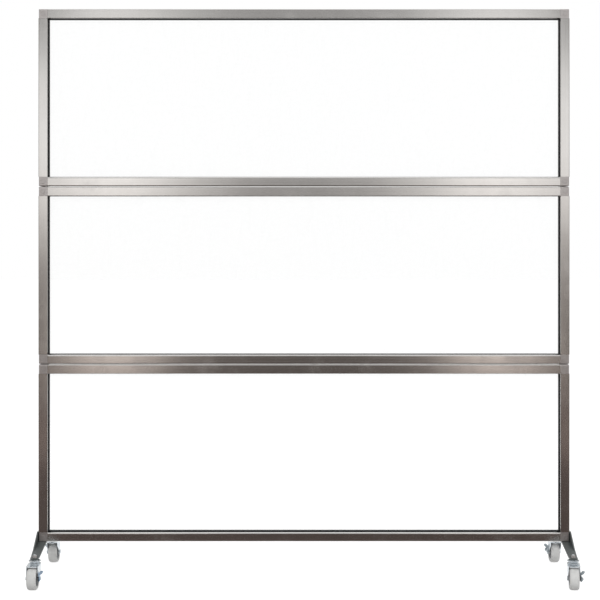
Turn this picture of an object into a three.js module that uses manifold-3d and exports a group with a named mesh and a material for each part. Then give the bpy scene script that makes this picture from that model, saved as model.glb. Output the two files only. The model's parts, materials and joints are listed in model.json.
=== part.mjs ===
// A mobile room divider with windows: three equal framed window units stand on one another,
// on two steel feet that reach forward and back under the posts, with a braked swivel caster
// under each end of each foot. Millimetres, +Z up, the front looks towards -Y, and the origin
// is on the floor under the middle of the frame.

import * as THREE from "three";
import { mergeVertices } from "three/addons/utils/BufferGeometryUtils.js";
import Module from "manifold-3d";

const wasm = await Module();
wasm.setup();

// Whole divider
const unitWidth = 1829;
const unitHeight = 609.6;
const unitNames = ["lower", "middle", "upper"];
const seamGap = 2.4;

// Clearances: between parts that stay still, and the overrun of a cut
const fitGap = 0.3;
const overrun = 1;

// Frame profile, the same for posts and rails
const faceWidth = 31.75;
const frameDepth = 50;
const profileWall = 2;
const edgeRadius = 3;
const innerEdgeRadius = 4.5;
const edgeSteps = 3;
const grooveDepth = 12;

// Window pane, and the gasket that wraps its edge and lines the frame around it
const paneThickness = 6;
const gasketWall = 2;
const liningThickness = 1.5;

// Corner block, with a spigot into the post and one into the rail
const blockInset = 1.5;
const spigotLength = 28;
const pegRadius = 5;
const pegLength = 9;
const roundSides = 16;

// Foot: a bent steel flange under the frame with a gusset up the post's outer side
const footThickness = 4.5;
const gussetThickness = 4;
const gussetRise = 34;
const gussetReach = 79;
const footReach = 134;
const footRise = 22.2;
const footFlatOverhang = 3;
const tipHalfLength = 17;
const tipInset = 6;
const tipCornerRadius = 12;
const tipCornerSteps = 4;

// Screws that hold each foot to the corner block
const screwSpacing = 26;
const screwRadius = 2.5;
const screwLength = 14;
const screwHeadRadius = 4.8;
const screwHeadHeight = 3;
const screwHeadCrown = 1;

// Caster
const casterTrail = 30;
const wheelRadius = 38;
const wheelWidth = 32;
const wheelSides = 24;
const wheelGap = 2;
const wheelShoulder = 6.5;
const wheelShoulderDrop = 5;
const hubRadius = 11;
const rimInnerRadius = 27;
const wheelWebThickness = 12;
const rimSetback = 1;
const axleRadius = 4;

const forkThickness = 2.5;
const forkWheelClearance = 3;
const hoodFall = 2;
const hoodReach = 18;
const apronDrop = 4;
const hoodCornerRadius = 8;
const hoodCornerSteps = 3;
const forkBossRadius = 9;
const bossSteps = 6;
const raceRadius = 17;
const raceHeight = 6.5;

const stemRadius = 4;
const stemSides = 20;
const kingpinRadius = 6;
const kingpinHeadRadius = 9;
const kingpinHeadHeight = 3.5;
const capRimHeight = 3.2;
const capEdge = 1.2;
const capDish = 1.4;
const collarRadius = 10;
const collarHeight = 3.5;
const stemProud = 2.5;
const stemChamfer = 0.8;
const nutAcrossFlats = 13;
const nutHeight = 8;

const axleHeadAcrossFlats = 13;
const axleHeadHeight = 5.5;
const axleEndRadius = 6.5;
const axleEndHeight = 3;

const brakeThickness = 2.5;
const brakeBossRadius = 9;
const brakeTopHalfWidth = 7;
const brakeTopRise = 16;
const brakeNoseReach = 20;
const brakeNoseRise = 3;
const brakeNoseHeight = 18;
const brakeNoseTipHeight = 4;
const brakeTabThickness = 2;
const topTabLength = 12;
const topTabLift = 9;
const noseTabLength = 6;

// Each caster's place and the way that it trails at rest: 0 degrees is towards the front
const casterPlaces = [
  { name: "front_left", side: -1, end: -1, turn: 0 },
  { name: "front_right", side: 1, end: -1, turn: -7 },
  { name: "rear_left", side: -1, end: 1, turn: 180 },
  { name: "rear_right", side: 1, end: 1, turn: 180 },
];

// Places that follow from those sizes
const halfWidth = unitWidth / 2;
const halfDepth = frameDepth / 2;
const openingWidth = unitWidth - 2 * faceWidth;
const openingHeight = unitHeight - 2 * faceWidth;
const gasketHalfThickness = paneThickness / 2 + gasketWall;
const grooveHalfWidth = gasketHalfThickness + fitGap;
const gasketBite = grooveDepth - fitGap;
const paneBite = gasketBite - gasketWall - fitGap;
const chamberInner = faceWidth - grooveDepth - profileWall;
const chamberHalfDepth = halfDepth - profileWall;
const pegPlace = faceWidth / 2;
const footInnerX = halfWidth - faceWidth + gussetThickness;
const footOuterX = halfWidth + fitGap + gussetThickness;
const tipOuterX = footOuterX - tipInset;
const kingpinX = (footInnerX + tipOuterX) / 2;
const kingpinY = halfDepth + footReach;
const forkInnerHalf = wheelWidth / 2 + wheelGap;
const forkOuterHalf = forkInnerHalf + forkThickness;
const forkUnder = 2 * wheelRadius + forkWheelClearance;
const forkTop = forkUnder + forkThickness;
const raceTop = forkTop + raceHeight;
const capBottom = raceTop + fitGap;
const capTop = capBottom + capRimHeight;
const casterHeight = capTop + collarHeight;
const tipTop = casterHeight + footThickness;
const footTop = tipTop + footRise;
const floorClearance = footTop + fitGap;
const hoodFront = casterTrail + hoodReach;
const brakeInnerX = forkOuterHalf + fitGap;
const brakeOuterX = brakeInnerX + brakeThickness;

// Materials
function material(color, roughness, metalness) {
  return new THREE.MeshStandardMaterial({ color, roughness, metalness });
}

const satinAluminium = material(0xb4b1ac, 0.32, 1);
const castCorner = material(0x9a9490, 0.42, 1);
const clearPane = material(0xf4f8fa, 0.05, 0);
clearPane.transparent = true;
clearPane.opacity = 0.2;
const blackRubber = material(0x151515, 0.7, 0);
const slatePaint = material(0x50555a, 0.45, 0.3);
const zincPlate = material(0xb9c0c4, 0.35, 1);
const greyRubber = material(0xc9c9c6, 0.6, 0);

// Turns a shape's own axes to the part's axes: each argument is where local X, Y and Z go
function turnedTo(geometry, x, y, z) {
  const basis = new THREE.Matrix4().makeBasis(
    new THREE.Vector3(...x),
    new THREE.Vector3(...y),
    new THREE.Vector3(...z),
  );
  return geometry.applyMatrix4(basis);
}

const plusX = [1, 0, 0];
const plusY = [0, 1, 0];
const plusZ = [0, 0, 1];
const minusY = [0, -1, 0];
const minusZ = [0, 0, -1];

function shapeOf(points) {
  return new THREE.Shape(points.map(([x, y]) => new THREE.Vector2(x, y)));
}

function prism(shape, length) {
  return new THREE.ExtrudeGeometry(shape, { depth: length, bevelEnabled: false });
}

// A plan outline (x, y) raised from one height to another
function plate(points, bottom, top) {
  return prism(shapeOf(points), top - bottom).translate(0, 0, bottom);
}

// A side outline (y, z) carried from one x to another
function sidePlate(points, fromX, toX) {
  const solid = prism(shapeOf(points), toX - fromX);
  return turnedTo(solid, plusY, plusZ, plusX).translate(fromX, 0, 0);
}

// A front outline (x, z) carried from one y back to a lower y
function frontPlate(points, fromY, toY) {
  const solid = prism(shapeOf(points), fromY - toY);
  return turnedTo(solid, plusX, plusZ, minusY).translate(0, fromY, 0);
}

function block(low, high) {
  const size = high.map((value, i) => value - low[i]);
  const middle = high.map((value, i) => (value + low[i]) / 2);
  return new THREE.BoxGeometry(...size).translate(...middle);
}

// Solids of revolution from (radius, height) points that go up the outside
function turnedSolid(points, sides, start = 0) {
  const profile = points.map(([radius, height]) => new THREE.Vector2(radius, height));
  return new THREE.LatheGeometry(profile, sides, start, 2 * Math.PI);
}

function turnedAlongZ(points, sides, start) {
  return turnedTo(turnedSolid(points, sides, start), plusX, plusZ, minusY);
}

function turnedAlongX(points, sides, start) {
  return turnedTo(turnedSolid(points, sides, start), plusY, plusX, minusZ);
}

function rodProfile(radius, from, to) {
  return [
    [0, from],
    [radius, from],
    [radius, to],
    [0, to],
  ];
}

function rodAlongZ(radius, from, to, sides = roundSides) {
  return turnedAlongZ(rodProfile(radius, from, to), sides);
}

function rodAlongX(radius, from, to, sides = roundSides) {
  return turnedAlongX(rodProfile(radius, from, to), sides);
}

// Booleans
function toSolid(geometry) {
  const bare = geometry.clone();
  bare.deleteAttribute("normal");
  bare.deleteAttribute("uv");
  const merged = mergeVertices(bare);
  return new wasm.Manifold(
    new wasm.Mesh({
      numProp: 3,
      vertProperties: merged.attributes.position.array,
      triVerts: new Uint32Array(merged.index.array),
    }),
  );
}

function toGeometry(solid) {
  const mesh = solid.getMesh();
  const geometry = new THREE.BufferGeometry();
  geometry.setAttribute("position", new THREE.BufferAttribute(mesh.vertProperties, 3));
  geometry.setIndex(new THREE.BufferAttribute(mesh.triVerts, 1));
  return geometry;
}

function join(first, ...others) {
  return toGeometry(others.reduce((sum, other) => sum.add(toSolid(other)), toSolid(first)));
}

function cut(first, ...others) {
  return toGeometry(others.reduce((rest, other) => rest.subtract(toSolid(other)), toSolid(first)));
}

function common(first, ...others) {
  return toGeometry(others.reduce((rest, other) => rest.intersect(toSolid(other)), toSolid(first)));
}

// Points of an arc, both ends included, angles in degrees
function arc(centreX, centreY, radius, fromDegrees, toDegrees, steps) {
  const points = [];
  for (let i = 0; i <= steps; i++) {
    const angle = THREE.MathUtils.degToRad(fromDegrees + ((toDegrees - fromDegrees) * i) / steps);
    points.push([centreX + radius * Math.cos(angle), centreY + radius * Math.sin(angle)]);
  }
  return points;
}

function addPiece(group, name, geometry, surface) {
  geometry.computeVertexNormals();
  const mesh = new THREE.Mesh(geometry, surface);
  mesh.name = name;
  group.add(mesh);
  return mesh;
}

// Frame profile: local x runs from the outer side to the window side, local y through the depth
function profileOutline() {
  const outer = edgeRadius;
  const outerY = halfDepth - outer;
  const inner = innerEdgeRadius;
  const innerX = faceWidth - inner;
  const innerY = halfDepth - inner;
  const grooveFloor = faceWidth - grooveDepth;
  return [
    ...arc(outer, -outerY, outer, 180, 270, edgeSteps),
    ...arc(innerX, -innerY, inner, 270, 360, edgeSteps),
    [faceWidth, -grooveHalfWidth],
    [grooveFloor, -grooveHalfWidth],
    [grooveFloor, grooveHalfWidth],
    [faceWidth, grooveHalfWidth],
    ...arc(innerX, innerY, inner, 0, 90, edgeSteps),
    ...arc(outer, outerY, outer, 90, 180, edgeSteps),
  ];
}

function profileChamber() {
  const wallX = faceWidth - profileWall;
  const beside = grooveHalfWidth + profileWall;
  const bevel = innerEdgeRadius - profileWall;
  return [
    [profileWall, -chamberHalfDepth],
    [wallX - bevel, -chamberHalfDepth],
    [wallX, -chamberHalfDepth + bevel],
    [wallX, -beside],
    [chamberInner, -beside],
    [chamberInner, beside],
    [wallX, beside],
    [wallX, chamberHalfDepth - bevel],
    [wallX - bevel, chamberHalfDepth],
    [profileWall, chamberHalfDepth],
  ];
}

function profileBar(length) {
  const shape = shapeOf(profileOutline());
  shape.holes.push(new THREE.Path(profileChamber().map(([x, y]) => new THREE.Vector2(x, y))));
  return prism(shape, length).translate(0, 0, -length / 2);
}

// Corner block outline through the frame's depth, rounded along its outer side
function roundedToDepth(inset) {
  const x = inset + edgeRadius;
  const y = halfDepth - edgeRadius;
  return [
    ...arc(x, -y, edgeRadius, 180, 270, edgeSteps),
    [faceWidth, -halfDepth],
    [faceWidth, halfDepth],
    ...arc(x, y, edgeRadius, 90, 180, edgeSteps),
  ];
}

// Corner block for the lower left corner: the frame's outer corner is at x = 0, z = 0
function cornerBlock({ peg, socket, screwed }) {
  const roundedAcrossPost = plate(roundedToDepth(blockInset), 0, faceWidth);
  const roundedAcrossRail = sidePlate(
    roundedToDepth(0).map(([x, y]) => [y, x]),
    0,
    faceWidth,
  );
  const cornerOutline = [
    ...arc(blockInset + edgeRadius, edgeRadius, edgeRadius, 180, 270, edgeSteps),
    [faceWidth, 0],
    [faceWidth, faceWidth],
    [blockInset, faceWidth],
  ];
  const roundedCorner = frontPlate(cornerOutline, halfDepth, -halfDepth);
  const body = common(roundedAcrossPost, roundedAcrossRail, roundedCorner);

  const spigotLow = profileWall + fitGap;
  const spigotHigh = chamberInner - fitGap;
  const spigotHalf = chamberHalfDepth - fitGap;
  const spigotEnd = faceWidth + spigotLength;
  const postSpigot = block(
    [spigotLow, -spigotHalf, faceWidth - overrun],
    [spigotHigh, spigotHalf, spigotEnd],
  );
  const railSpigot = block(
    [faceWidth - overrun, -spigotHalf, spigotLow],
    [spigotEnd, spigotHalf, spigotHigh],
  );
  let piece = join(body, postSpigot, railSpigot);

  const notchLow = faceWidth - grooveDepth;
  const notch = block(
    [notchLow, -grooveHalfWidth, notchLow],
    [faceWidth + overrun, grooveHalfWidth, faceWidth + overrun],
  );
  piece = cut(piece, notch);
  if (peg) {
    piece = join(piece, rodAlongZ(pegRadius, -pegLength, overrun).translate(pegPlace, 0, 0));
  }
  if (socket) {
    const depth = pegLength - seamGap + fitGap;
    const hole = rodAlongZ(pegRadius + fitGap, -overrun, depth);
    piece = cut(piece, hole.translate(pegPlace, 0, 0));
  }
  if (screwed) {
    for (const y of [-screwSpacing / 2, screwSpacing / 2]) {
      const hole = rodAlongX(screwRadius + fitGap, -overrun, screwLength);
      piece = cut(piece, hole.translate(0, y, faceWidth / 2));
    }
  }
  return piece;
}

// Gasket: a ring that wraps the pane's edge in the groove, with a lining over the frame's inner faces
function gasketRing() {
  const outerX = openingWidth / 2 + gasketBite;
  const outerZ = openingHeight / 2 + gasketBite;
  const liningX = openingWidth / 2 - fitGap;
  const liningZ = openingHeight / 2 - fitGap;
  const innerX = liningX - liningThickness;
  const innerZ = liningZ - liningThickness;
  const slotX = openingWidth / 2 + paneBite + fitGap;
  const slotZ = openingHeight / 2 + paneBite + fitGap;
  const slotY = paneThickness / 2 + fitGap;
  const liningY = halfDepth - innerEdgeRadius;
  const throughY = liningY + overrun;
  const bite = block(
    [-outerX, -gasketHalfThickness, -outerZ],
    [outerX, gasketHalfThickness, outerZ],
  );
  const lining = block([-liningX, -liningY, -liningZ], [liningX, liningY, liningZ]);
  const opening = block([-innerX, -throughY, -innerZ], [innerX, throughY, innerZ]);
  const slot = block([-slotX, -slotY, -slotZ], [slotX, slotY, slotZ]);
  return cut(join(bite, lining), opening, slot);
}

function windowPane() {
  const x = openingWidth / 2 + paneBite;
  const y = paneThickness / 2;
  const z = openingHeight / 2 + paneBite;
  return block([-x, -y, -z], [x, y, z]);
}

function windowUnit(name, position) {
  const unit = new THREE.Group();
  unit.position.z = floorClearance + position * (unitHeight + seamGap) + unitHeight / 2;
  const lowest = position === 0;
  const highest = position === unitNames.length - 1;

  const post = profileBar(openingHeight - 2 * fitGap);
  const leftPost = addPiece(unit, `${name}_left_post`, post, satinAluminium);
  leftPost.position.x = -halfWidth;
  const rightPost = addPiece(unit, `${name}_right_post`, post, satinAluminium);
  rightPost.position.x = halfWidth;
  rightPost.rotation.z = Math.PI;

  const rail = profileBar(openingWidth - 2 * fitGap);
  const bottomRail = addPiece(unit, `${name}_bottom_rail`, rail, satinAluminium);
  bottomRail.position.z = -unitHeight / 2;
  bottomRail.rotation.y = -Math.PI / 2;
  const topRail = addPiece(unit, `${name}_top_rail`, rail, satinAluminium);
  topRail.position.z = unitHeight / 2;
  topRail.rotation.y = Math.PI / 2;

  for (const [side, sideName] of [
    [-1, "left"],
    [1, "right"],
  ]) {
    const bottom = cornerBlock({ peg: true, socket: false, screwed: lowest });
    const bottomCorner = addPiece(unit, `${name}_bottom_${sideName}_corner`, bottom, castCorner);
    bottomCorner.position.set(side * halfWidth, 0, -unitHeight / 2);
    bottomCorner.scale.x = -side;
    const top = cornerBlock({ peg: false, socket: !highest, screwed: false });
    const topCorner = addPiece(unit, `${name}_top_${sideName}_corner`, top, castCorner);
    topCorner.position.set(side * halfWidth, 0, unitHeight / 2);
    topCorner.scale.set(-side, 1, -1);
  }

  addPiece(unit, `${name}_gasket`, gasketRing(), blackRubber);
  addPiece(unit, `${name}_window_pane`, windowPane(), clearPane);
  return unit;
}

// Foot for the right side: flat under the frame, then sloping down to a level tip at each end
function footFlange() {
  const flatEnd = halfDepth + footFlatOverhang;
  const tipStart = kingpinY - tipHalfLength;
  const tipEnd = kingpinY + tipHalfLength;
  const upper = [
    [-tipEnd, tipTop],
    [-tipStart, tipTop],
    [-flatEnd, footTop],
    [flatEnd, footTop],
    [tipStart, tipTop],
    [tipEnd, tipTop],
  ];
  const lower = upper.map(([y, z]) => [y, z - footThickness]).reverse();
  const bent = sidePlate([...upper, ...lower], footInnerX, footOuterX);

  const insideX = footInnerX + tipCornerRadius;
  const outsideX = tipOuterX - tipCornerRadius;
  const cornerY = tipEnd - tipCornerRadius;
  const fullWidthY = halfDepth + gussetReach;
  const plan = [
    ...arc(insideX, -cornerY, tipCornerRadius, 180, 270, tipCornerSteps),
    ...arc(outsideX, -cornerY, tipCornerRadius, 270, 360, tipCornerSteps),
    [footOuterX, -fullWidthY],
    [footOuterX, fullWidthY],
    ...arc(outsideX, cornerY, tipCornerRadius, 0, 90, tipCornerSteps),
    ...arc(insideX, cornerY, tipCornerRadius, 90, 180, tipCornerSteps),
  ];
  return common(bent, plate(plan, tipTop - footThickness - overrun, footTop + overrun));
}

// Height of the middle of the foot's flange at a distance in front of or behind the frame
function flangeMiddle(distance) {
  const run = footReach - tipHalfLength - footFlatOverhang;
  const fall = ((footTop - tipTop) * (distance - footFlatOverhang)) / run;
  return footTop - footThickness / 2 - fall;
}

function footGusset() {
  const topZ = floorClearance + gussetRise;
  const reachY = halfDepth + gussetReach;
  const reachZ = flangeMiddle(gussetReach);
  const flatEnd = halfDepth + footFlatOverhang;
  const flatZ = footTop - footThickness / 2;
  const outline = [
    [-reachY, reachZ],
    [-flatEnd, flatZ],
    [flatEnd, flatZ],
    [reachY, reachZ],
    [halfDepth, topZ],
    [-halfDepth, topZ],
  ];
  return sidePlate(outline, halfWidth + fitGap, footOuterX);
}

function footSolid() {
  let foot = join(footFlange(), footGusset());
  const holeBottom = casterHeight - overrun;
  const holeTop = footTop + overrun;
  for (const y of [-kingpinY, kingpinY]) {
    const stemHole = rodAlongZ(stemRadius + fitGap, holeBottom, holeTop);
    foot = cut(foot, stemHole.translate(kingpinX, y, 0));
  }
  const pegHole = rodAlongZ(pegRadius + fitGap, holeBottom, holeTop);
  foot = cut(foot, pegHole.translate(halfWidth - pegPlace, 0, 0));
  const screwZ = floorClearance + faceWidth / 2;
  for (const y of [-screwSpacing / 2, screwSpacing / 2]) {
    const screwHole = rodAlongX(screwRadius + fitGap, halfWidth, footOuterX + overrun);
    foot = cut(foot, screwHole.translate(0, y, screwZ));
  }
  return foot;
}

// Pan-head screw along X, its head outside the gusset
function footScrew() {
  const headBase = footOuterX + fitGap;
  const headTop = headBase + screwHeadHeight;
  const points = [
    [0, headBase - screwLength],
    [screwRadius, headBase - screwLength],
    [screwRadius, headBase],
    [screwHeadRadius, headBase],
    [screwHeadRadius, headTop - screwHeadCrown],
    [screwHeadRadius - screwHeadCrown, headTop],
    [0, headTop],
  ];
  return turnedAlongX(points, roundSides);
}

function footGroup(side, sideName) {
  const group = new THREE.Group();
  group.scale.x = side;
  addPiece(group, `${sideName}_foot`, footSolid(), slatePaint);
  for (const [end, endName] of [
    [-1, "front"],
    [1, "rear"],
  ]) {
    const screw = addPiece(group, `${sideName}_foot_${endName}_screw`, footScrew(), zincPlate);
    screw.position.set(0, (end * screwSpacing) / 2, floorClearance + faceWidth / 2);
  }
  return group;
}

// Caster pieces: the kingpin is on the Z axis and the wheel trails towards -Y

// Kingpin, dished cap, collar and threaded stem in one turned piece
function casterStem() {
  const kingpinBottom = forkUnder - fitGap - kingpinHeadHeight;
  const rim = forkOuterHalf;
  const collarTop = casterHeight - fitGap;
  const stemTop = tipTop + fitGap + nutHeight + stemProud;
  const points = [
    [0, kingpinBottom],
    [kingpinHeadRadius, kingpinBottom],
    [kingpinHeadRadius, kingpinBottom + kingpinHeadHeight],
    [kingpinRadius, kingpinBottom + kingpinHeadHeight],
    [kingpinRadius, capBottom],
    [rim - capEdge, capBottom],
    [rim, capBottom + capEdge],
    [rim, capTop - capEdge],
    [rim - capEdge, capTop],
    [collarRadius, capTop - capDish],
    [collarRadius, collarTop],
    [stemRadius, collarTop],
    [stemRadius, stemTop - stemChamfer],
    [stemRadius - stemChamfer, stemTop],
    [0, stemTop],
  ];
  return turnedAlongZ(points, stemSides);
}

function hexagon(acrossFlats) {
  return arc(0, 0, acrossFlats / Math.sqrt(3), 0, 300, 5);
}

function casterNut() {
  const bottom = tipTop + fitGap;
  const body = plate(hexagon(nutAcrossFlats), bottom, bottom + nutHeight);
  return cut(body, rodAlongZ(stemRadius + fitGap, bottom - overrun, bottom + nutHeight + overrun));
}

// Fork: a pressed hood over the wheel with two legs down to the axle
function casterFork() {
  const backY = forkOuterHalf;
  const hoodZ = forkTop - hoodFall;
  const apronZ = hoodZ - apronDrop;
  const side = [
    [backY, forkTop],
    [-forkOuterHalf, forkTop],
    [-hoodFront, hoodZ],
    [-hoodFront, apronZ],
    ...arc(-casterTrail, wheelRadius, forkBossRadius, -180, 0, bossSteps),
    [backY, forkUnder - apronDrop],
  ];
  const outer = sidePlate(side, -forkOuterHalf, forkOuterHalf);
  const channel = [
    [backY + overrun, forkUnder],
    [-forkOuterHalf, forkUnder],
    [-hoodFront + forkThickness, hoodZ - forkThickness],
    [-hoodFront + forkThickness, apronZ],
    [-hoodFront - overrun, apronZ],
    [-hoodFront - overrun, 0],
    [backY + overrun, 0],
  ];
  const inner = sidePlate(channel, -forkInnerHalf, forkInnerHalf);

  const cornerX = forkOuterHalf - hoodCornerRadius;
  const cornerY = -hoodFront + hoodCornerRadius;
  const plan = [
    ...arc(-cornerX, cornerY, hoodCornerRadius, 180, 270, hoodCornerSteps),
    ...arc(cornerX, cornerY, hoodCornerRadius, 270, 360, hoodCornerSteps),
    ...arc(0, 0, forkOuterHalf, 0, 180, stemSides / 2),
  ];
  const shell = common(cut(outer, inner), plate(plan, 0, forkTop));
  const race = rodAlongZ(raceRadius, forkUnder, raceTop, stemSides);
  const kingpinHole = rodAlongZ(kingpinRadius + fitGap, forkUnder - overrun, raceTop + overrun);
  const axleHole = rodAlongX(
    axleRadius + fitGap,
    -forkOuterHalf - overrun,
    forkOuterHalf + overrun,
  ).translate(0, -casterTrail, wheelRadius);
  return cut(join(shell, race), kingpinHole, axleHole);
}

// Axle bolt: a hexagon head on one side, an upset end outside the brake lever on the other
function casterAxle() {
  const headInner = forkOuterHalf + fitGap;
  const endInner = brakeOuterX + fitGap;
  const shank = rodAlongX(axleRadius, -headInner - overrun, endInner + overrun);
  const hexagonPlan = sidePlate(
    hexagon(axleHeadAcrossFlats),
    -headInner - axleHeadHeight,
    -headInner,
  );
  const upset = turnedAlongX(
    [
      [0, endInner],
      [axleEndRadius, endInner],
      [axleEndRadius, endInner + axleEndHeight / 2],
      [axleRadius, endInner + axleEndHeight],
      [0, endInner + axleEndHeight],
    ],
    roundSides,
  );
  return join(shank, hexagonPlan, upset).translate(0, -casterTrail, wheelRadius);
}

// Wheel: moulded core with a soft grey tread; a flat of the faceted tread faces the floor
function casterWheel() {
  const outward = 1 / Math.cos(Math.PI / wheelSides);
  const halfHub = forkInnerHalf - fitGap;
  const halfWeb = wheelWebThickness / 2;
  const halfWheel = wheelWidth / 2;
  const half = [
    [axleRadius + fitGap, halfHub],
    [hubRadius, halfHub],
    [hubRadius, halfWeb],
    [rimInnerRadius, halfWeb],
    [rimInnerRadius, halfWheel - rimSetback],
    [wheelRadius - wheelShoulderDrop, halfWheel],
    [wheelRadius, halfWheel - wheelShoulder],
  ];
  const mirrored = half.map(([radius, x]) => [radius, -x]);
  const loop = [...mirrored, ...half.reverse(), mirrored[0]];
  const scaled = loop.map(([radius, x]) => [radius * outward, x]);
  const wheel = turnedAlongX(scaled, wheelSides, Math.PI / wheelSides);
  return wheel.translate(0, -casterTrail, wheelRadius);
}

// Brake lever beside the right leg: it turns on the axle, and has a toe tab at the top and one at the nose
function casterBrake() {
  const axleY = -casterTrail;
  const axleZ = wheelRadius;
  const topZ = axleZ + brakeTopRise;
  const noseY = axleY - brakeNoseReach;
  const noseMiddle = axleZ + brakeNoseRise;
  const noseTop = noseMiddle + brakeNoseHeight / 2;
  const noseBottom = noseMiddle - brakeNoseHeight / 2;
  const side = [
    ...arc(axleY, axleZ, brakeBossRadius, -90, 0, bossSteps / 2),
    [axleY + brakeTopHalfWidth, topZ],
    [axleY - brakeTopHalfWidth, topZ],
    [noseY, noseTop],
    [noseY, noseBottom],
  ];
  const lever = sidePlate(side, brakeInnerX, brakeOuterX);

  const tabEnd = brakeOuterX + topTabLength;
  const topTabOutline = [
    [brakeInnerX, topZ - brakeTabThickness],
    [brakeOuterX, topZ - brakeTabThickness],
    [tabEnd, topZ - brakeTabThickness + topTabLift],
    [tabEnd, topZ + topTabLift],
    [brakeInnerX, topZ],
  ];
  const tabBack = axleY + brakeTopHalfWidth;
  const tabFront = axleY - brakeTopHalfWidth;
  const topTab = frontPlate(topTabOutline, tabBack, tabFront);
  const leafPlan = [
    [brakeInnerX, tabFront],
    [brakeOuterX, tabFront],
    [tabEnd, axleY - brakeTopHalfWidth / 2],
    [tabEnd, axleY + brakeTopHalfWidth / 2],
    [brakeOuterX, tabBack],
    [brakeInnerX, tabBack],
  ];
  const leafBottom = topZ - brakeTabThickness - overrun;
  const leaf = common(topTab, plate(leafPlan, leafBottom, topZ + topTabLift + overrun));

  const noseTabOutline = [
    [brakeInnerX, noseBottom],
    [brakeOuterX, noseBottom],
    [brakeOuterX + noseTabLength, noseMiddle - brakeNoseTipHeight / 2],
    [brakeOuterX + noseTabLength, noseMiddle + brakeNoseTipHeight / 2],
    [brakeOuterX, noseTop],
    [brakeInnerX, noseTop],
  ];
  const noseTab = frontPlate(noseTabOutline, noseY + brakeTabThickness, noseY);
  const bore = rodAlongX(axleRadius + fitGap, forkOuterHalf, brakeOuterX + overrun);
  return cut(join(lever, leaf, noseTab), bore.translate(0, axleY, axleZ));
}

function caster({ name, side, end, turn }) {
  const group = new THREE.Group();
  group.position.set(side * kingpinX, end * kingpinY, 0);
  group.rotation.z = THREE.MathUtils.degToRad(turn);
  addPiece(group, `${name}_caster_stem`, casterStem(), zincPlate);
  addPiece(group, `${name}_caster_nut`, casterNut(), zincPlate);
  addPiece(group, `${name}_caster_fork`, casterFork(), zincPlate);
  addPiece(group, `${name}_caster_axle`, casterAxle(), zincPlate);
  addPiece(group, `${name}_caster_wheel`, casterWheel(), greyRubber);
  addPiece(group, `${name}_caster_brake`, casterBrake(), zincPlate);
  return group;
}

const divider = new THREE.Group();
unitNames.forEach((name, position) => divider.add(windowUnit(name, position)));
divider.add(footGroup(-1, "left"));
divider.add(footGroup(1, "right"));
casterPlaces.forEach((place) => divider.add(caster(place)));

export default divider;
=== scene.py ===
import json
import math

import bmesh
import bpy
from mathutils import Matrix, Vector


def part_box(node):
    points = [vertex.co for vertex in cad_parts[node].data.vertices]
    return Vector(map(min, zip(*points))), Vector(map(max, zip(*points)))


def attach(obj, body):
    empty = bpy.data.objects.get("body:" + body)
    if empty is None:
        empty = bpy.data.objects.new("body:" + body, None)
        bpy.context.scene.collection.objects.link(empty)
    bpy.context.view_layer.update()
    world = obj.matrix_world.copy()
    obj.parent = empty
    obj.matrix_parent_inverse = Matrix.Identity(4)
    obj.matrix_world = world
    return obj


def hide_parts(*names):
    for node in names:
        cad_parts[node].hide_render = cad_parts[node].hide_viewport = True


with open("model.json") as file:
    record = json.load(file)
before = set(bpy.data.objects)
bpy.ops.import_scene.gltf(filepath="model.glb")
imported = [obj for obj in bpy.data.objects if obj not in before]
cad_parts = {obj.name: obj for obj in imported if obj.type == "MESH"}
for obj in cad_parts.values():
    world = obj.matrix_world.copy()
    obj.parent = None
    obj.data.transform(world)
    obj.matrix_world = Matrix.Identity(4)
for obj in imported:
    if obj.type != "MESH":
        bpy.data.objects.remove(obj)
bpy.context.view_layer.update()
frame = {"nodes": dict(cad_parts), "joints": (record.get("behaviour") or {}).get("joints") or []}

# Sizes are in millimetres, and a finished piece is scaled to metres
MM = 0.001

# Frame profile, pane and gasket
FACE_WIDTH = 31.75
FRAME_DEPTH = 50
PROFILE_WALL = 2
EDGE_RADIUS = 3
SMALL_EDGE_RADIUS = 2
BOTTOM_RAIL_EDGE_RADIUS = 5.5
GROOVE_DEPTH = 12
PANE_THICKNESS = 6
GASKET_WALL = 2
LINING_THICKNESS = 0.5
REAR_LINING = 16
FIT_GAP = 0.3
PIN_RADIUS = 6.5
PIN_RISE = 0.35
PIN_DEPTH = 1
PIN_RING = 0.45
PIN_RECESS = 1.2
BLOCK_BEVEL = 0.7
PANE_BEVEL = 0.6

# Corner blocks reach this far into the seam between two windows
SEAM_REACH = 0.7
WINDOWS = ("lower", "middle", "upper")

# Foot
FOOT_THICKNESS = 4.5
GUSSET_THICKNESS = 4
GUSSET_RISE = 34
GUSSET_REACH = 79
FOOT_REACH = 134
FOOT_RISE = 22.2
FOOT_FLAT_OVERHANG = 3
TIP_HALF_LENGTH = 17
TIP_INSET = 6
TIP_CORNER_RADIUS = 12
BEND_RADIUS = 9
SHOULDER_RADIUS = 40
GUSSET_CORNER_RADIUS = 5
FOOT_BEVEL = 0.8
PEG_RADIUS = 5
SCREW_SPACING = 26
SCREW_RADIUS = 2.5
SCREW_LENGTH = 14
SCREW_HEAD_RADIUS = 4.8
SCREW_HEAD_HEIGHT = 3
SCREW_SOCKET_RADIUS = 1.75

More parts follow.
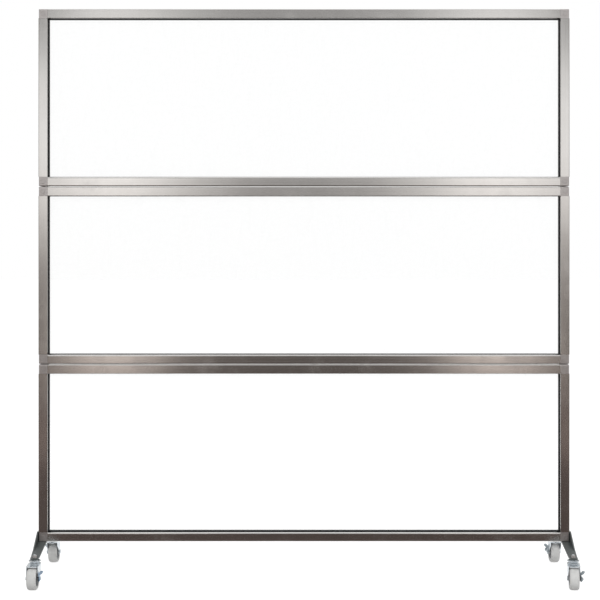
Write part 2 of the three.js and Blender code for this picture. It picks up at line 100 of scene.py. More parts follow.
# Caster, with its kingpin on the Z axis and its wheel trailing towards -Y
TRAIL = 30
WHEEL_RADIUS = 38
WHEEL_WIDTH = 32
WHEEL_GAP = 2
HUB_RADIUS = 11
RIM_RADIUS = 27
RIB_COUNT = 8
RIB_THICKNESS = 2.2
WEB_THICKNESS = 12
AXLE_RADIUS = 4
FORK_THICKNESS = 2.5
FORK_WHEEL_CLEARANCE = 3
HOOD_FALL = 2
HOOD_REACH = 18
APRON_DROP = 4
HOOD_CORNER_RADIUS = 8
FORK_BOSS_RADIUS = 9
FORK_BEVEL = 0.9
RACE_RADIUS = 17
RACE_HEIGHT = 6.5
STEM_RADIUS = 4
KINGPIN_RADIUS = 6
KINGPIN_HEAD_RADIUS = 9
KINGPIN_HEAD_HEIGHT = 3.5
CAP_RIM_HEIGHT = 3.2
CAP_DISH = 2.5
COLLAR_RADIUS = 10
COLLAR_HEIGHT = 3.5
STEM_PROUD = 2.5
THREAD_PITCH = 1.25
THREAD_DEPTH = 0.45
NUT_ACROSS_FLATS = 13
NUT_HEIGHT = 8
AXLE_HEAD_ACROSS_FLATS = 13
AXLE_HEAD_HEIGHT = 2.6
AXLE_END_RADIUS = 6.5
AXLE_END_HEIGHT = 3
BRAKE_THICKNESS = 2.5
BRAKE_BOSS_RADIUS = 9
BRAKE_TOP_HALF_WIDTH = 7
BRAKE_TOP_RISE = 16
BRAKE_NOSE_REACH = 20
BRAKE_NOSE_RISE = 3
BRAKE_NOSE_HEIGHT = 18
BRAKE_NOSE_TIP_HEIGHT = 4
BRAKE_TAB_THICKNESS = 2
TOP_TAB_LENGTH = 11.4
TOP_TAB_LIFT = 9
NOSE_TAB_LENGTH = 6
BRAKE_BEVEL = 0.5

# How far cuts run past what they cut, and how close two points are to count as one
OVERRUN = 1
SCREW_OVERRUN = 3
LONG_OVERRUN = 5
MERGE_DISTANCE = 0.001
CAD_MERGE_DISTANCE = 0.005

# Smooth shading stops at edges sharper than this, bevels are cut from the second angle on, and
# faces that meet at less than the third are one face
SHARP_ANGLE = 32
BEVEL_ANGLE = 28
FLAT_ANGLE = 1

# Sides of round forms
ROD_SIDES = 40
CONE_SIDES = 48
TURNED_SIDES = 64
WHEEL_SIDES = 96

# Chamfer of a hexagon: where it starts, as a share of the width across flats, and its slope
CHAMFER_START = 0.485
CHAMFER_SLOPE = 1.73

# Heights and places that follow
HALF_DEPTH = FRAME_DEPTH / 2
FORK_INNER = WHEEL_WIDTH / 2 + WHEEL_GAP
FORK_OUTER = FORK_INNER + FORK_THICKNESS
FORK_UNDER = 2 * WHEEL_RADIUS + FORK_WHEEL_CLEARANCE
FORK_TOP = FORK_UNDER + FORK_THICKNESS
RACE_TOP = FORK_TOP + RACE_HEIGHT
CAP_BOTTOM = RACE_TOP + FIT_GAP
CAP_TOP = CAP_BOTTOM + CAP_RIM_HEIGHT
CASTER_HEIGHT = CAP_TOP + COLLAR_HEIGHT
TIP_TOP = CASTER_HEIGHT + FOOT_THICKNESS
FOOT_TOP = TIP_TOP + FOOT_RISE
HOOD_FRONT = TRAIL + HOOD_REACH
BRAKE_INNER = FORK_OUTER + FIT_GAP
BRAKE_OUTER = BRAKE_INNER + BRAKE_THICKNESS
AXLE_PLACE = (0, -TRAIL, WHEEL_RADIUS)


# Node trees from Python


class Field:
    """A node's output that takes part in sums: each sum adds its Math node."""

    def __init__(self, tree, socket):
        self.tree = tree
        self.socket = socket

    def other(self, name):
        return Field(self.tree, self.socket.node.outputs[name])

    def sum(self, operation, first, second=None):
        sockets = {0: first, 1: second}
        return self.tree.node("ShaderNodeMath", sockets, operation=operation)

    def __add__(self, other):
        return self.sum("ADD", self, other)

    def __radd__(self, other):
        return self.sum("ADD", other, self)

    def __sub__(self, other):
        return self.sum("SUBTRACT", self, other)

    def __rsub__(self, other):
        return self.sum("SUBTRACT", other, self)

    def __mul__(self, other):
        return self.sum("MULTIPLY", self, other)

    def __rmul__(self, other):
        return self.sum("MULTIPLY", other, self)

    def __truediv__(self, other):
        return self.sum("DIVIDE", self, other)

    def __abs__(self):
        return self.sum("ABSOLUTE", self)

    def most(self, other):
        return self.sum("MAXIMUM", self, other)


class Tree:
    """A node tree of any kind, filled in by one method."""

    def __init__(self, tree):
        self.tree = tree

    def node(self, kind, sockets=None, output=0, **settings):
        node = self.tree.nodes.new(kind)
        for name, value in settings.items():
            setattr(node, name, value)
        for key, value in (sockets or {}).items():
            if value is None:
                continue
            for one in value if isinstance(value, list) else [value]:
                if isinstance(one, Field):
                    self.tree.links.new(one.socket, node.inputs[key])
                else:
                    node.inputs[key].default_value = one
        if not node.outputs:
            return node
        return Field(self, node.outputs[output])

    def vector(self, operation, first, second=None, scale=None):
        sockets = {0: first, 1: second, 3: scale}
        return self.node("ShaderNodeVectorMath", sockets, operation=operation)

    def parts(self, vector):
        x = self.node("ShaderNodeSeparateXYZ", {0: vector})
        return x, x.other("Y"), x.other("Z")

    def joined_parts(self, x, y, z):
        return self.node("ShaderNodeCombineXYZ", {0: x, 1: y, 2: z})


class Finish(Tree):
    """A material, in millimetres on the piece's own coordinates."""

    def __init__(self, name, display):
        self.material = bpy.data.materials.new(name)
        self.material.use_nodes = True
        self.material.diffuse_color = (*display, 1)
        super().__init__(self.material.node_tree)
        self.tree.nodes.clear()
        place = self.node("ShaderNodeTexCoord", output=3)
        self.place = self.vector("SCALE", place, scale=1 / MM)
        self.x, self.y, self.z = self.parts(self.place)

    def noise(self, scale, detail, roughness=0.5, stretch=(1, 1, 1)):
        place = self.vector("MULTIPLY", self.place, stretch)
        sockets = {"Vector": place, "Scale": scale, "Detail": detail, "Roughness": roughness}
        return self.node("ShaderNodeTexNoise", sockets)

    def ramp(self, value, low, high, bottom=0, top=1):
        sockets = {0: value, 1: low, 2: high, 3: bottom, 4: top}
        return self.node("ShaderNodeMapRange", sockets, interpolation_type="SMOOTHSTEP")

    def blend(self, factor, first, second):
        colours = [(*c, 1) if isinstance(c, tuple) else c for c in (first, second)]
        sockets = {0: factor, 6: colours[0], 7: colours[1]}
        return self.node("ShaderNodeMix", sockets, 2, data_type="RGBA")

    def bump(self, height, distance, strength, under=None):
        sockets = {"Height": height, "Distance": distance * MM, "Strength": strength}
        sockets["Normal"] = under
        return self.node("ShaderNodeBump", sockets)

    def surfaced(self, **sockets):
        named = {name.replace("_", " "): value for name, value in sockets.items()}
        return self.done(self.node("ShaderNodeBsdfPrincipled", named))

    def done(self, surface):
        self.node("ShaderNodeOutputMaterial", {0: surface})
        return self.material


# Finishes


def drawn_aluminium(name, along_rail):
    """Satin aluminium profile with the faint lines of its drawing along its length."""
    f = Finish(name, (0.6, 0.59, 0.58))
    line = (0.004, 1, 1) if along_rail else (1, 1, 0.004)
    fine = f.noise(2.6, 3, 0.6, line)
    broad = f.noise(0.22, 2, 0.5, line)
    handled = f.noise(0.012, 3, 0.6)
    cloud = f.noise(0.09, 2)
    tone = fine * 0.10 + broad * 0.08 + handled * 0.10
    colour = f.blend(f.ramp(tone, 0.08, 0.20), (0.70, 0.685, 0.67), (0.80, 0.79, 0.775))
    roughness = 0.12 + fine * 0.06 + f.ramp(handled, 0.5, 0.75) * 0.05 + cloud * 0.02
    bump = f.bump(fine * 0.7 + broad * 0.3, 0.012, 0.2)
    return f.surfaced(
        Base_Color=colour,
        Metallic=1.0,
        Roughness=roughness,
        Anisotropic=0.35,
        Anisotropic_Rotation=0.25 if along_rail else 0.0,
        Normal=bump,
    )


def cast_alloy():
    """Corner blocks: a die-cast alloy, warmer and duller than the profiles."""
    f = Finish("cast_corner", (0.45, 0.42, 0.40))
    grain = f.noise(1.6, 3, 0.6)
    patch = f.noise(0.08, 3, 0.55)
    speck = f.ramp(f.noise(0.9, 2), 0.62, 0.72)
    base = f.blend(patch, (0.585, 0.555, 0.548), (0.695, 0.665, 0.655))
    colour = f.blend(speck * 0.3, base, (0.45, 0.42, 0.41))
    return f.surfaced(
        Base_Color=colour,
        Metallic=0.92,
        Roughness=0.29 + grain * 0.12 + speck * 0.1,
        Normal=f.bump(grain, 0.03, 0.6),
    )


def black_rubber():
    """Gasket: extruded black rubber with a fine grain and a little dust on it."""
    f = Finish("black_rubber", (0.02, 0.02, 0.02))
    grain = f.noise(1.8, 3, 0.6)
    dust = f.ramp(f.noise(0.05, 4, 0.65), 0.5, 0.8)
    return f.surfaced(
        Base_Color=f.blend(dust * 0.5, (0.005, 0.005, 0.006), (0.018, 0.017, 0.017)),
        Roughness=0.7 + grain * 0.12 + dust * 0.1,
        Specular_IOR_Level=0.06,
        Normal=f.bump(grain, 0.04, 0.5),
    )


def slate_powder_coat():
    """Feet: dark slate powder coat with orange peel, rubbed a little along the middle."""
    f = Finish("slate_powder_coat", (0.09, 0.10, 0.10))
    peel = f.noise(0.55, 2, 0.4)
    grain = f.noise(3.0, 2)
    cloud = f.noise(0.03, 3, 0.6)
    scuff = f.ramp(f.noise(0.35, 4, 0.7, (1, 0.12, 0.3)), 0.63, 0.72)
    base = f.blend(cloud, (0.052, 0.061, 0.060), (0.080, 0.091, 0.089))
    return f.surfaced(
        Base_Color=f.blend(scuff * 0.3, base, (0.16, 0.17, 0.17)),
        Roughness=0.38 + grain * 0.1 + scuff * 0.12,
        Coat_Weight=0.15,
        Coat_Roughness=0.3,
        Normal=f.bump(peel, 0.10, 0.6, f.bump(grain, 0.01, 0.5)),
    )


def bright_zinc(name, light, dark, metallic, dull=0.0):
    """Zinc plate on pressed steel: bright, bluish and slightly cloudy."""
    f = Finish(name, light)
    cloud = f.noise(0.12, 4, 0.6)
    grain = f.noise(2.2, 2)
    draw = f.noise(0.5, 3, 0.5, (0.3, 0.3, 2))
    stain = f.ramp(f.noise(0.06, 3, 0.6), 0.55, 0.8)
    base = f.blend(f.ramp(cloud, 0.3, 0.7), dark, light)
    return f.surfaced(
        Base_Color=f.blend(stain * 0.3, base, (0.62, 0.60, 0.52)),
        Metallic=metallic,
        Roughness=0.17 + dull + cloud * 0.1 + draw * 0.06,
        Normal=f.bump(grain * 0.4 + draw * 0.6, 0.03, 0.5),
    )


def tread_rubber():
    """Tyres: pale grey rubber, scuffed round the tread and dusty on the shoulders."""
    f = Finish("grey_tread", (0.60, 0.60, 0.58))
    grain = f.noise(1.5, 3, 0.6)
    cloud = f.noise(0.07, 3, 0.6)
    scuff = f.ramp(f.noise(0.5, 4, 0.7, (0.25, 1, 1)), 0.58, 0.72)
    base = f.blend(cloud, (0.52, 0.52, 0.51), (0.64, 0.64, 0.63))
    return f.surfaced(
        Base_Color=f.blend(scuff * 0.35, base, (0.36, 0.35, 0.33)),
        Roughness=0.52 + grain * 0.14 + scuff * 0.1,
        Normal=f.bump(grain, 0.06, 0.6, f.bump(scuff, 0.08, 0.4)),
    )


def moulded_core():
    """Wheel cores: grey moulded plastic with a fine spark-eroded grain."""
    f = Finish("moulded_core", (0.30, 0.31, 0.32))
    grain = f.noise(2.4, 2)
    cloud = f.noise(0.09, 3)
    return f.surfaced(
        Base_Color=f.blend(cloud, (0.25, 0.26, 0.27), (0.34, 0.35, 0.36)),
        Roughness=0.42 + grain * 0.12,
        Normal=f.bump(grain, 0.05, 0.5),
    )


def clear_sheet():
    """Window panes: clear sheet, faintly hazy in random smears and wipe marks."""
    f = Finish("clear_sheet", (0.9, 0.93, 0.94))
    smear = f.noise(0.02, 4, 0.6, (1, 1, 0.35))
    wiped = f.noise(0.06, 3, 0.6, (0.3, 1, 1))
    haze = f.ramp(smear, 0.45, 0.85) * 0.03 + f.ramp(wiped, 0.5, 0.85) * 0.015
    return f.surfaced(
        Base_Color=(0.86, 0.88, 0.88, 1),
        Roughness=0.04 + f.ramp(smear, 0.4, 0.8) * 0.08,
        Alpha=0.035 + haze,
        IOR=1.45,
    )


POST_METAL = drawn_aluminium("drawn_aluminium_post", False)
RAIL_METAL = drawn_aluminium("drawn_aluminium_rail", True)
CORNER_METAL = cast_alloy()
RUBBER = black_rubber()
COAT = slate_powder_coat()
ZINC = bright_zinc("bright_zinc", (0.84, 0.88, 0.91), (0.56, 0.61, 0.65), 0.78)
AGED_ZINC = bright_zinc("aged_zinc", (0.50, 0.475, 0.46), (0.34, 0.32, 0.31), 0.35, 0.2)
LEVER_ZINC = bright_zinc("lever_zinc", (0.44, 0.49, 0.52), (0.31, 0.36, 0.39), 0.35, 0.12)
BLUED_ZINC = bright_zinc("blued_zinc", (0.46, 0.58, 0.72), (0.30, 0.42, 0.56), 0.4, 0.1)
TREAD = tread_rubber()
CORE = moulded_core()
CLEAR = clear_sheet()


# Outlines in a plane


def arc(x, y, radius, start, stop, steps):
    """Points of an arc, both ends included, angles in degrees."""
    angles = [math.radians(start + (stop - start) * i / steps) for i in range(steps + 1)]
    return [(x + radius * math.cos(a), y + radius * math.sin(a)) for a in angles]


def eased(outline, radii, steps=6):
    """A closed outline with its corners rounded, each to its own radius."""
    points = []
    count = len(outline)
    for i, radius in enumerate(radii):
        corner = Vector(outline[i])
        if not radius:
            points.append(tuple(corner))
            continue
        before = (Vector(outline[i - 1]) - corner).normalized()
        after = (Vector(outline[(i + 1) % count]) - corner).normalized()
        half = before.angle(after) / 2
        reach = radius / math.tan(half)
        centre = corner + (before + after).normalized() * (radius / math.sin(half))
        first = corner + before * reach - centre
        last = corner + after * reach - centre
        turn = first.angle_signed(last)
        for step in range(steps + 1):
            swung = Matrix.Rotation(-turn * step / steps, 2) @ first
            points.append(tuple(centre + swung))
    return points


def stepped(u, v, *steps):
    """Points given by their steps from one point."""
    return [(u + du, v + dv) for du, dv in steps]


def and_mirrored(half, across=1):
    """Half an outline and its mirror image, with coordinate number across changed in sign."""
    flip = (1, -1) if across else (-1, 1)
    return half + [(u * flip[0], v * flip[1]) for u, v in reversed(half)]


# Working solids, in millimetres


def by_side(y, z, x):
    return x, y, z


def by_plan(x, y, z):
    return x, y, z


def by_front(x, z, y):
    return x, y, z


def outward(solid):
    """The solid with all its faces looking out."""
    bmesh.ops.recalc_face_normals(solid, faces=solid.faces)
    return solid


def prism(outline, low, high, place):
    """An outline carried from low to high."""
    solid = bmesh.new()
    rows = [[solid.verts.new(place(u, v, w)) for u, v in outline] for w in (low, high)]
    solid.faces.new(rows[0])
    solid.faces.new(rows[1][::-1])
    for i in range(len(outline)):
        solid.faces.new((rows[0][i], rows[0][i - 1], rows[1][i - 1], rows[1][i]))
    return outward(solid)


def turned(profile, sides, place):
    """A solid of revolution from (radius, height) points, a ring if they start off the axis."""
    solid = bmesh.new()
    closed = profile[0][0] > 0
    rings = []
    for radius, height in profile:
        if radius == 0:
            rings.append([solid.verts.new(place(0, 0, height))])
            continue
        turns = [2 * math.pi * i / sides for i in range(sides)]
        ring = [place(radius * math.cos(t), radius * math.sin(t), height) for t in turns]
        rings.append([solid.verts.new(point) for point in ring])
    pairs = list(zip(rings, rings[1:]))
    if closed:
        pairs.append((rings[-1], rings[0]))
    for lower, upper in pairs:
        for i in range(sides):
            corners = [lower[i % len(lower)], lower[(i + 1) % sides % len(lower)]]
            corners += [upper[(i + 1) % sides % len(upper)], upper[i % len(upper)]]
            solid.faces.new(list(dict.fromkeys(corners)))
    return outward(solid)


def rod(radius, low, high, place):
    return turned([(0, low), (radius, low), (radius, high), (0, high)], ROD_SIDES, place)


def box(size):
    solid = bmesh.new()
    bmesh.ops.create_cube(solid, size=1, matrix=Matrix.Diagonal((*size, 1)))
    return solid


def moved(solid, x, y, z):
    solid.transform(at(x, y, z))
    return solid


def mesh_from(solid):
    mesh = bpy.data.meshes.new("working")
    solid.to_mesh(mesh)
    solid.free()
    return mesh


def solid_from(mesh):
    solid = bmesh.new()
    solid.from_mesh(mesh)
    bpy.data.meshes.remove(mesh)
    return solid


def evaluated(holder):
    """The plain mesh of an object with its modifiers carried out; the object goes."""
    graph = bpy.context.evaluated_depsgraph_get()
    mesh = bpy.data.meshes.new_from_object(holder.evaluated_get(graph))
    bpy.data.objects.remove(holder)
    return mesh


def linked(name, data):
    """A new object in the scene."""
    thing = bpy.data.objects.new(name, data)
    bpy.context.scene.collection.objects.link(thing)
    return thing


def holder_of(mesh):
    return linked("holder", mesh)


def combined(operation, first, *others):
    for other in others:
        holder = holder_of(mesh_from(first))
        tool = holder_of(mesh_from(other))
        boolean = holder.modifiers.new("boolean", "BOOLEAN")
        boolean.operation = operation
        boolean.solver = "EXACT"
        boolean.object = tool
        first = solid_from(evaluated(holder))
        bpy.data.objects.remove(tool)
    return first


def made_whole(solid):
    """The solid without double points, each of its flat faces in one piece."""
    bmesh.ops.remove_doubles(solid, verts=solid.verts, dist=MERGE_DISTANCE)
    edges, verts = list(solid.edges), list(solid.verts)
    limit = math.radians(FLAT_ANGLE)
    bmesh.ops.dissolve_limit(solid, angle_limit=limit, verts=verts, edges=edges)
    return solid


def bevelled(solid, width, steps=3, angle=BEVEL_ANGLE):
    """The solid made whole, with its sharp edges broken."""
    holder = holder_of(mesh_from(made_whole(solid)))
    bevel = holder.modifiers.new("bevel", "BEVEL")
    bevel.width = width
    bevel.segments = steps
    bevel.limit_method = "ANGLE"
    bevel.angle_limit = math.radians(angle)
    bevel.use_clamp_overlap = True
    return solid_from(evaluated(holder))


def joined(*solids):
    """Separate shells in one working solid."""
    whole = bmesh.new()
    for solid in solids:
        mesh = mesh_from(solid)
        whole.from_mesh(mesh)
        bpy.data.meshes.remove(mesh)
    return whole


# Finished pieces


def piece(name, solid, material, body, nodes=(), place=Matrix.Identity(4)):
    """Scales a working solid to metres, sets it in place and gives it to its body."""
    solid.transform(Matrix.Scale(MM, 4) @ place)
    mesh = mesh_from(solid)
    mesh.name = name
    mesh.materials.clear()
    mesh.materials.append(material)
    mesh.polygons.foreach_set("use_smooth", [True] * len(mesh.polygons))
    mesh.polygons.foreach_set("material_index", [0] * len(mesh.polygons))
    mesh.set_sharp_from_angle(angle=math.radians(SHARP_ANGLE))
    rough = holder_of(mesh)
    weighted = rough.modifiers.new("weighted", "WEIGHTED_NORMAL")
    weighted.keep_sharp = True
    thing = linked(name, evaluated(rough))
    thing.data.name = name
    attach(thing, body)
    if nodes:
        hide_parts(*nodes)


def copied(node):
    """A working copy of a CAD node, in millimetres, with its loose triangles merged."""
    solid = bmesh.new()
    solid.from_mesh(frame["nodes"][node].data)
    solid.transform(Matrix.Scale(1 / MM, 4))
    bmesh.ops.remove_doubles(solid, verts=solid.verts, dist=CAD_MERGE_DISTANCE)
    return solid


# Recipes in Geometry Nodes


class Recipe(Tree):
    """A geometry tree with named sizes. It starts from the places given to it."""

    def __init__(self, name, sizes):
        super().__init__(bpy.data.node_groups.new(name, "GeometryNodeTree"))
        face = self.tree.interface
        face.new_socket("Places", in_out="INPUT", socket_type="NodeSocketGeometry")
        for size in sizes:
            face.new_socket(size, in_out="INPUT", socket_type="NodeSocketFloat")
        face.new_socket("Finish", in_out="INPUT", socket_type="NodeSocketMaterial")
        face.new_socket("Shape", in_out="OUTPUT", socket_type="NodeSocketGeometry")
        self.inputs = self.node("NodeGroupInput")
        self.names = sizes
        self.sizes = [self.inputs.other(size) for size in sizes]

    def up(self, height):
        return self.joined_parts(0.0, 0.0, height)

    def shape(self, kind, sockets, centre):
        """A simple mesh of the given kind, moved to its centre."""
        mesh = self.node(kind, sockets)
        return self.node("GeometryNodeTransform", {"Geometry": mesh, "Translation": centre})

    def block(self, size, centre):
        return self.shape("GeometryNodeMeshCube", {"Size": size}, centre)

    def rod(self, radius, depth, centre, sides):
        sockets = {"Vertices": sides, "Radius": radius, "Depth": depth}
        return self.shape("GeometryNodeMeshCylinder", sockets, centre)

    def cone(self, bottom, top, depth, centre, sides):
        sockets = {"Vertices": sides, "Radius Bottom": bottom, "Radius Top": top, "Depth": depth}
        return self.shape("GeometryNodeMeshCone", sockets, centre)

    def boolean(self, operation, parts, first=None):
        sockets = {"Mesh 1": first, "Mesh 2": list(parts)}
        return self.node("GeometryNodeMeshBoolean", sockets, operation=operation, solver="EXACT")

    def cut(self, first, *others):
        return self.boolean("DIFFERENCE", others, first)

    def common(self, *parts):
        return self.boolean("INTERSECT", parts)

    def union(self, *parts):
        return self.boolean("UNION", parts)

    def joined(self, *parts):
        return self.node("GeometryNodeJoinGeometry", {0: list(parts)})

    def on_places(self, shape):
        sockets = {"Points": self.inputs, "Instance": shape}
        return self.node("GeometryNodeInstanceOnPoints", sockets)

    def done(self, shape):
        real = self.node("GeometryNodeRealizeInstances", {0: shape})
        sockets = {"Geometry": real, "Material": self.inputs.other("Finish")}
        coloured = self.node("GeometryNodeSetMaterial", sockets)
        self.node("NodeGroupOutput", {0: coloured})
        return self

    def grown(self, places, sizes, material):
        """Runs the recipe on the places and returns the result as a working solid."""
        values = dict(zip(self.names, map(float, sizes)), Finish=material)
        start = bpy.data.meshes.new("places")
        start.from_pydata(places, [], [])
        holder = holder_of(start)
        modifier = holder.modifiers.new("recipe", "NODES")
        modifier.node_group = self.tree
        for item in self.tree.interface.items_tree:
            if item.item_type == "SOCKET" and item.name in values:
                modifier[item.identifier] = values[item.name]
        return solid_from(evaluated(holder))


def profile_recipe():
    """The hollow frame profile: X from its outer side, Y through the depth, Z along it."""
    names = ["Length", "Face width", "Depth", "Edge radius", "Inner edge radius", "Wall"]
    r = Recipe("frame_profile", names + ["Groove depth", "Groove width"])
    length, width, depth, edge, inner_edge, wall, groove_depth, groove_width = r.sizes

    sockets = {"Width": width, "Height": depth}
    outline = r.node("GeometryNodeCurvePrimitiveQuadrilateral", sockets, mode="RECTANGLE")
    x = r.parts(r.node("GeometryNodeInputPosition"))[0]
    inner = x.sum("GREATER_THAN", x, 0.0)
    radius = inner * inner_edge + (1 - inner) * edge
    sockets = {"Curve": outline, "Radius": radius, "Count": 8}
    rounded = r.node("GeometryNodeFilletCurve", sockets, mode="POLY")
    face = r.node("GeometryNodeFillCurve", {0: rounded})
    up = r.up(length)
    sockets = {"Mesh": face, "Offset": up, "Offset Scale": 1.0, "Individual": False}
    bar = r.node("GeometryNodeExtrudeMesh", sockets, mode="FACES")
    lid = r.node("GeometryNodeFlipFaces", {0: face})
    closed = {0: r.joined(bar, lid), "Distance": MERGE_DISTANCE}
    whole = r.node("GeometryNodeMergeByDistance", closed)

    long = length * 1.1
    middle = length / 2
    groove = r.block(
        r.joined_parts(groove_depth * 2, groove_width, long),
        r.joined_parts(width / 2, 0.0, middle),
    )
    behind = width - groove_depth - wall * 2
    chamber = r.block(
        r.joined_parts(behind, depth - wall * 2, long),
        r.joined_parts(wall + behind / 2 - width / 2, 0.0, middle),
    )
    beside = depth / 2 - wall * 2 - groove_width / 2
    parts = [whole, groove, chamber]
    for side in (-1, 1):
        size = r.joined_parts(groove_depth + wall * 0.5, beside, long)
        across = width / 2 - wall - (groove_depth + wall * 0.5) / 2
        offset = (groove_width / 2 + wall + beside / 2) * side
        parts.append(r.block(size, r.joined_parts(across, offset, middle)))
    return r.done(r.on_places(r.cut(*parts)))


def screw_recipe():
    """A button-head screw up the Z axis, its head's seat at zero and a hexagon socket in it."""
    names = ["Radius", "Length", "Head radius", "Head height", "Socket radius"]
    r = Recipe("button_screw", names)
    radius, length, head_radius, head_height, socket_radius = r.sizes
    shank = r.rod(radius, length, r.up((0 - length) / 2 + 0.5), 24)
    disc = r.rod(head_radius, head_height, r.up(head_height / 2), ROD_SIDES)
    crown = head_height * 0.6
    ball_radius = (head_radius * head_radius + crown * crown) / (crown * 2)
    sockets = {"Segments": 48, "Rings": 32, "Radius": ball_radius}
    ball = r.shape("GeometryNodeMeshUVSphere", sockets, r.up(head_height - ball_radius))
    head = r.common(disc, ball)
    socket = r.rod(socket_radius, head_height, r.up(head_height * 0.9), 6)
    return r.done(r.on_places(r.cut(r.union(shank, head), socket)))


def nut_recipe():
    """A hexagon nut on Z with both faces chamfered, its lower face at zero."""
    r = Recipe("hexagon_nut", ["Across flats", "Height", "Bore radius"])
    across, height, bore = r.sizes
    middle = r.up(height / 2)
    body = r.rod(across / math.sqrt(3), height, middle, 6)
    narrow = across * CHAMFER_START
    wide = narrow + height * CHAMFER_SLOPE
    lower = r.cone(narrow, wide, height, (0.0, 0.0, 0.0), CONE_SIDES)
    upper = r.cone(wide, narrow, height, (0.0, 0.0, 0.0), CONE_SIDES)
    hole = r.rod(bore, height * 2, middle, ROD_SIDES)
    return r.done(r.on_places(r.cut(r.common(body, lower, upper), hole)))


def pin_recipe():
    """A flush locking pin on Z: a chamfered disc with a small drilled centre."""
    r = Recipe("locking_pin", ["Radius", "Rise", "Depth"])
    radius, rise, depth = r.sizes
    height = rise + depth
    middle = r.up((rise - depth) / 2)
    disc = r.rod(radius, height, middle, ROD_SIDES)
    low = r.up(0 - depth)
    chamfer = r.cone(radius + height, radius - 0.4, height, low, ROD_SIDES)
    centre = r.rod(0.9, depth, r.up(rise), 16)
    return r.done(r.on_places(r.cut(r.common(disc, chamfer), centre)))


PROFILE = profile_recipe()
SCREW = screw_recipe()
NUT = nut_recipe()
PIN = pin_recipe()


# Places


def turn(axis, degrees):
    return Matrix.Rotation(math.radians(degrees), 4, axis)


def at(x, y, z):
    return Matrix.Translation((x, y, z))


def cad_millimetres(node):
    low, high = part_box(node)
    return Vector(low) / MM, Vector(high) / MM


# Frame of one window unit


def frame_bar(length, inner_edge, material):
    """A length of frame profile with its outer side at x = 0."""
    groove = [GROOVE_DEPTH, PANE_THICKNESS + 2 * GASKET_WALL + 2 * FIT_GAP]
    sizes = [length, FACE_WIDTH, FRAME_DEPTH, EDGE_RADIUS, inner_edge, PROFILE_WALL, *groove]
    bar = made_whole(PROFILE.grown([(0, 0, 0)], sizes, material))
    return outward(moved(bar, FACE_WIDTH / 2, 0, 0))


def posts_and_rails(unit):
    for side in ("left", "right"):
        node = f"{unit}_{side}_post"
        low, high = cad_millimetres(node)
        place = at(low.x, 0, low.z) if side == "left" else at(high.x, 0, low.z) @ turn("Z", 180)
        bar = frame_bar(high.z - low.z, SMALL_EDGE_RADIUS, POST_METAL)
        piece(node + "_profile", bar, POST_METAL, "frame", [node], place)
    for level, inner_edge in (("bottom", BOTTOM_RAIL_EDGE_RADIUS), ("top", SMALL_EDGE_RADIUS)):
        node = f"{unit}_{level}_rail"
        low, high = cad_millimetres(node)
        if level == "bottom":
            place = at(high.x, 0, low.z) @ turn("Y", -90)
        else:
            place = at(low.x, 0, high.z) @ turn("Y", 90)
        bar = frame_bar(high.x - low.x, inner_edge, RAIL_METAL)
        piece(node + "_profile", bar, RAIL_METAL, "frame", [node], place)


def reach_into_seam(block, seam, step):
    """Moves the face that looks at the next window, at height seam, by the step."""
    for vert in block.verts:
        if abs(vert.co.z - seam) < 0.01:
            vert.co.z += step


def corner_blocks(unit):
    """The four cast corners, each with a locking pin in front and behind."""
    pins = []
    for level in ("bottom", "top"):
        for side in ("left", "right"):
            node = f"{unit}_{level}_{side}_corner"
            low, high = cad_millimetres(node)
            post = cad_millimetres(f"{unit}_{side}_post")
            rail = cad_millimetres(f"{unit}_{level}_rail")
            x = (post[0].x + post[1].x) / 2
            z = (rail[0].z + rail[1].z) / 2
            block = copied(node)
            if level == "bottom" and unit != WINDOWS[0]:
                reach_into_seam(block, low.z, -SEAM_REACH)
            elif level == "top" and unit != WINDOWS[-1]:
                reach_into_seam(block, high.z, SEAM_REACH)
            for face in (-1, 1):
                seat, mouth = HALF_DEPTH - PIN_RECESS, HALF_DEPTH + OVERRUN
                hole = rod(PIN_RADIUS + PIN_RING, seat, mouth, by_plan)
                hole.transform(at(x, 0, z) @ turn("X", -90 * face))
                block = combined("DIFFERENCE", block, hole)
            pins.append((x, z))
            block = bevelled(block, BLOCK_BEVEL)
            piece(node + "_block", block, CORNER_METAL, "frame", [node])
    sizes = [PIN_RADIUS, PIN_RISE, PIN_DEPTH]
    shells = []
    for face in (-1, 1):
        grown = PIN.grown([(x, -face * z, 0) for x, z in pins], sizes, CORNER_METAL)
        grown.transform(at(0, face * HALF_DEPTH, 0) @ turn("X", -90 * face))
        shells.append(grown)
    piece(f"{unit}_locking_pins", joined(*shells), CORNER_METAL, "frame")


def mitred_ring(profile, half_x, half_z):
    """A closed (inward, depth) outline carried round a rectangle, with mitred corners."""
    ring = bmesh.new()
    corners = []
    for sign_x, sign_z in ((-1, -1), (1, -1), (1, 1), (-1, 1)):
        points = [(sign_x * (half_x - u), y, sign_z * (half_z - u)) for u, y in profile]
        corners.append([ring.verts.new(point) for point in points])
    count = len(profile)
    for here, there in zip(corners, corners[1:] + corners[:1]):
        for i in range(count):
            j = (i + 1) % count
            ring.faces.new((here[i], here[j], there[j], there[i]))
    return outward(ring)


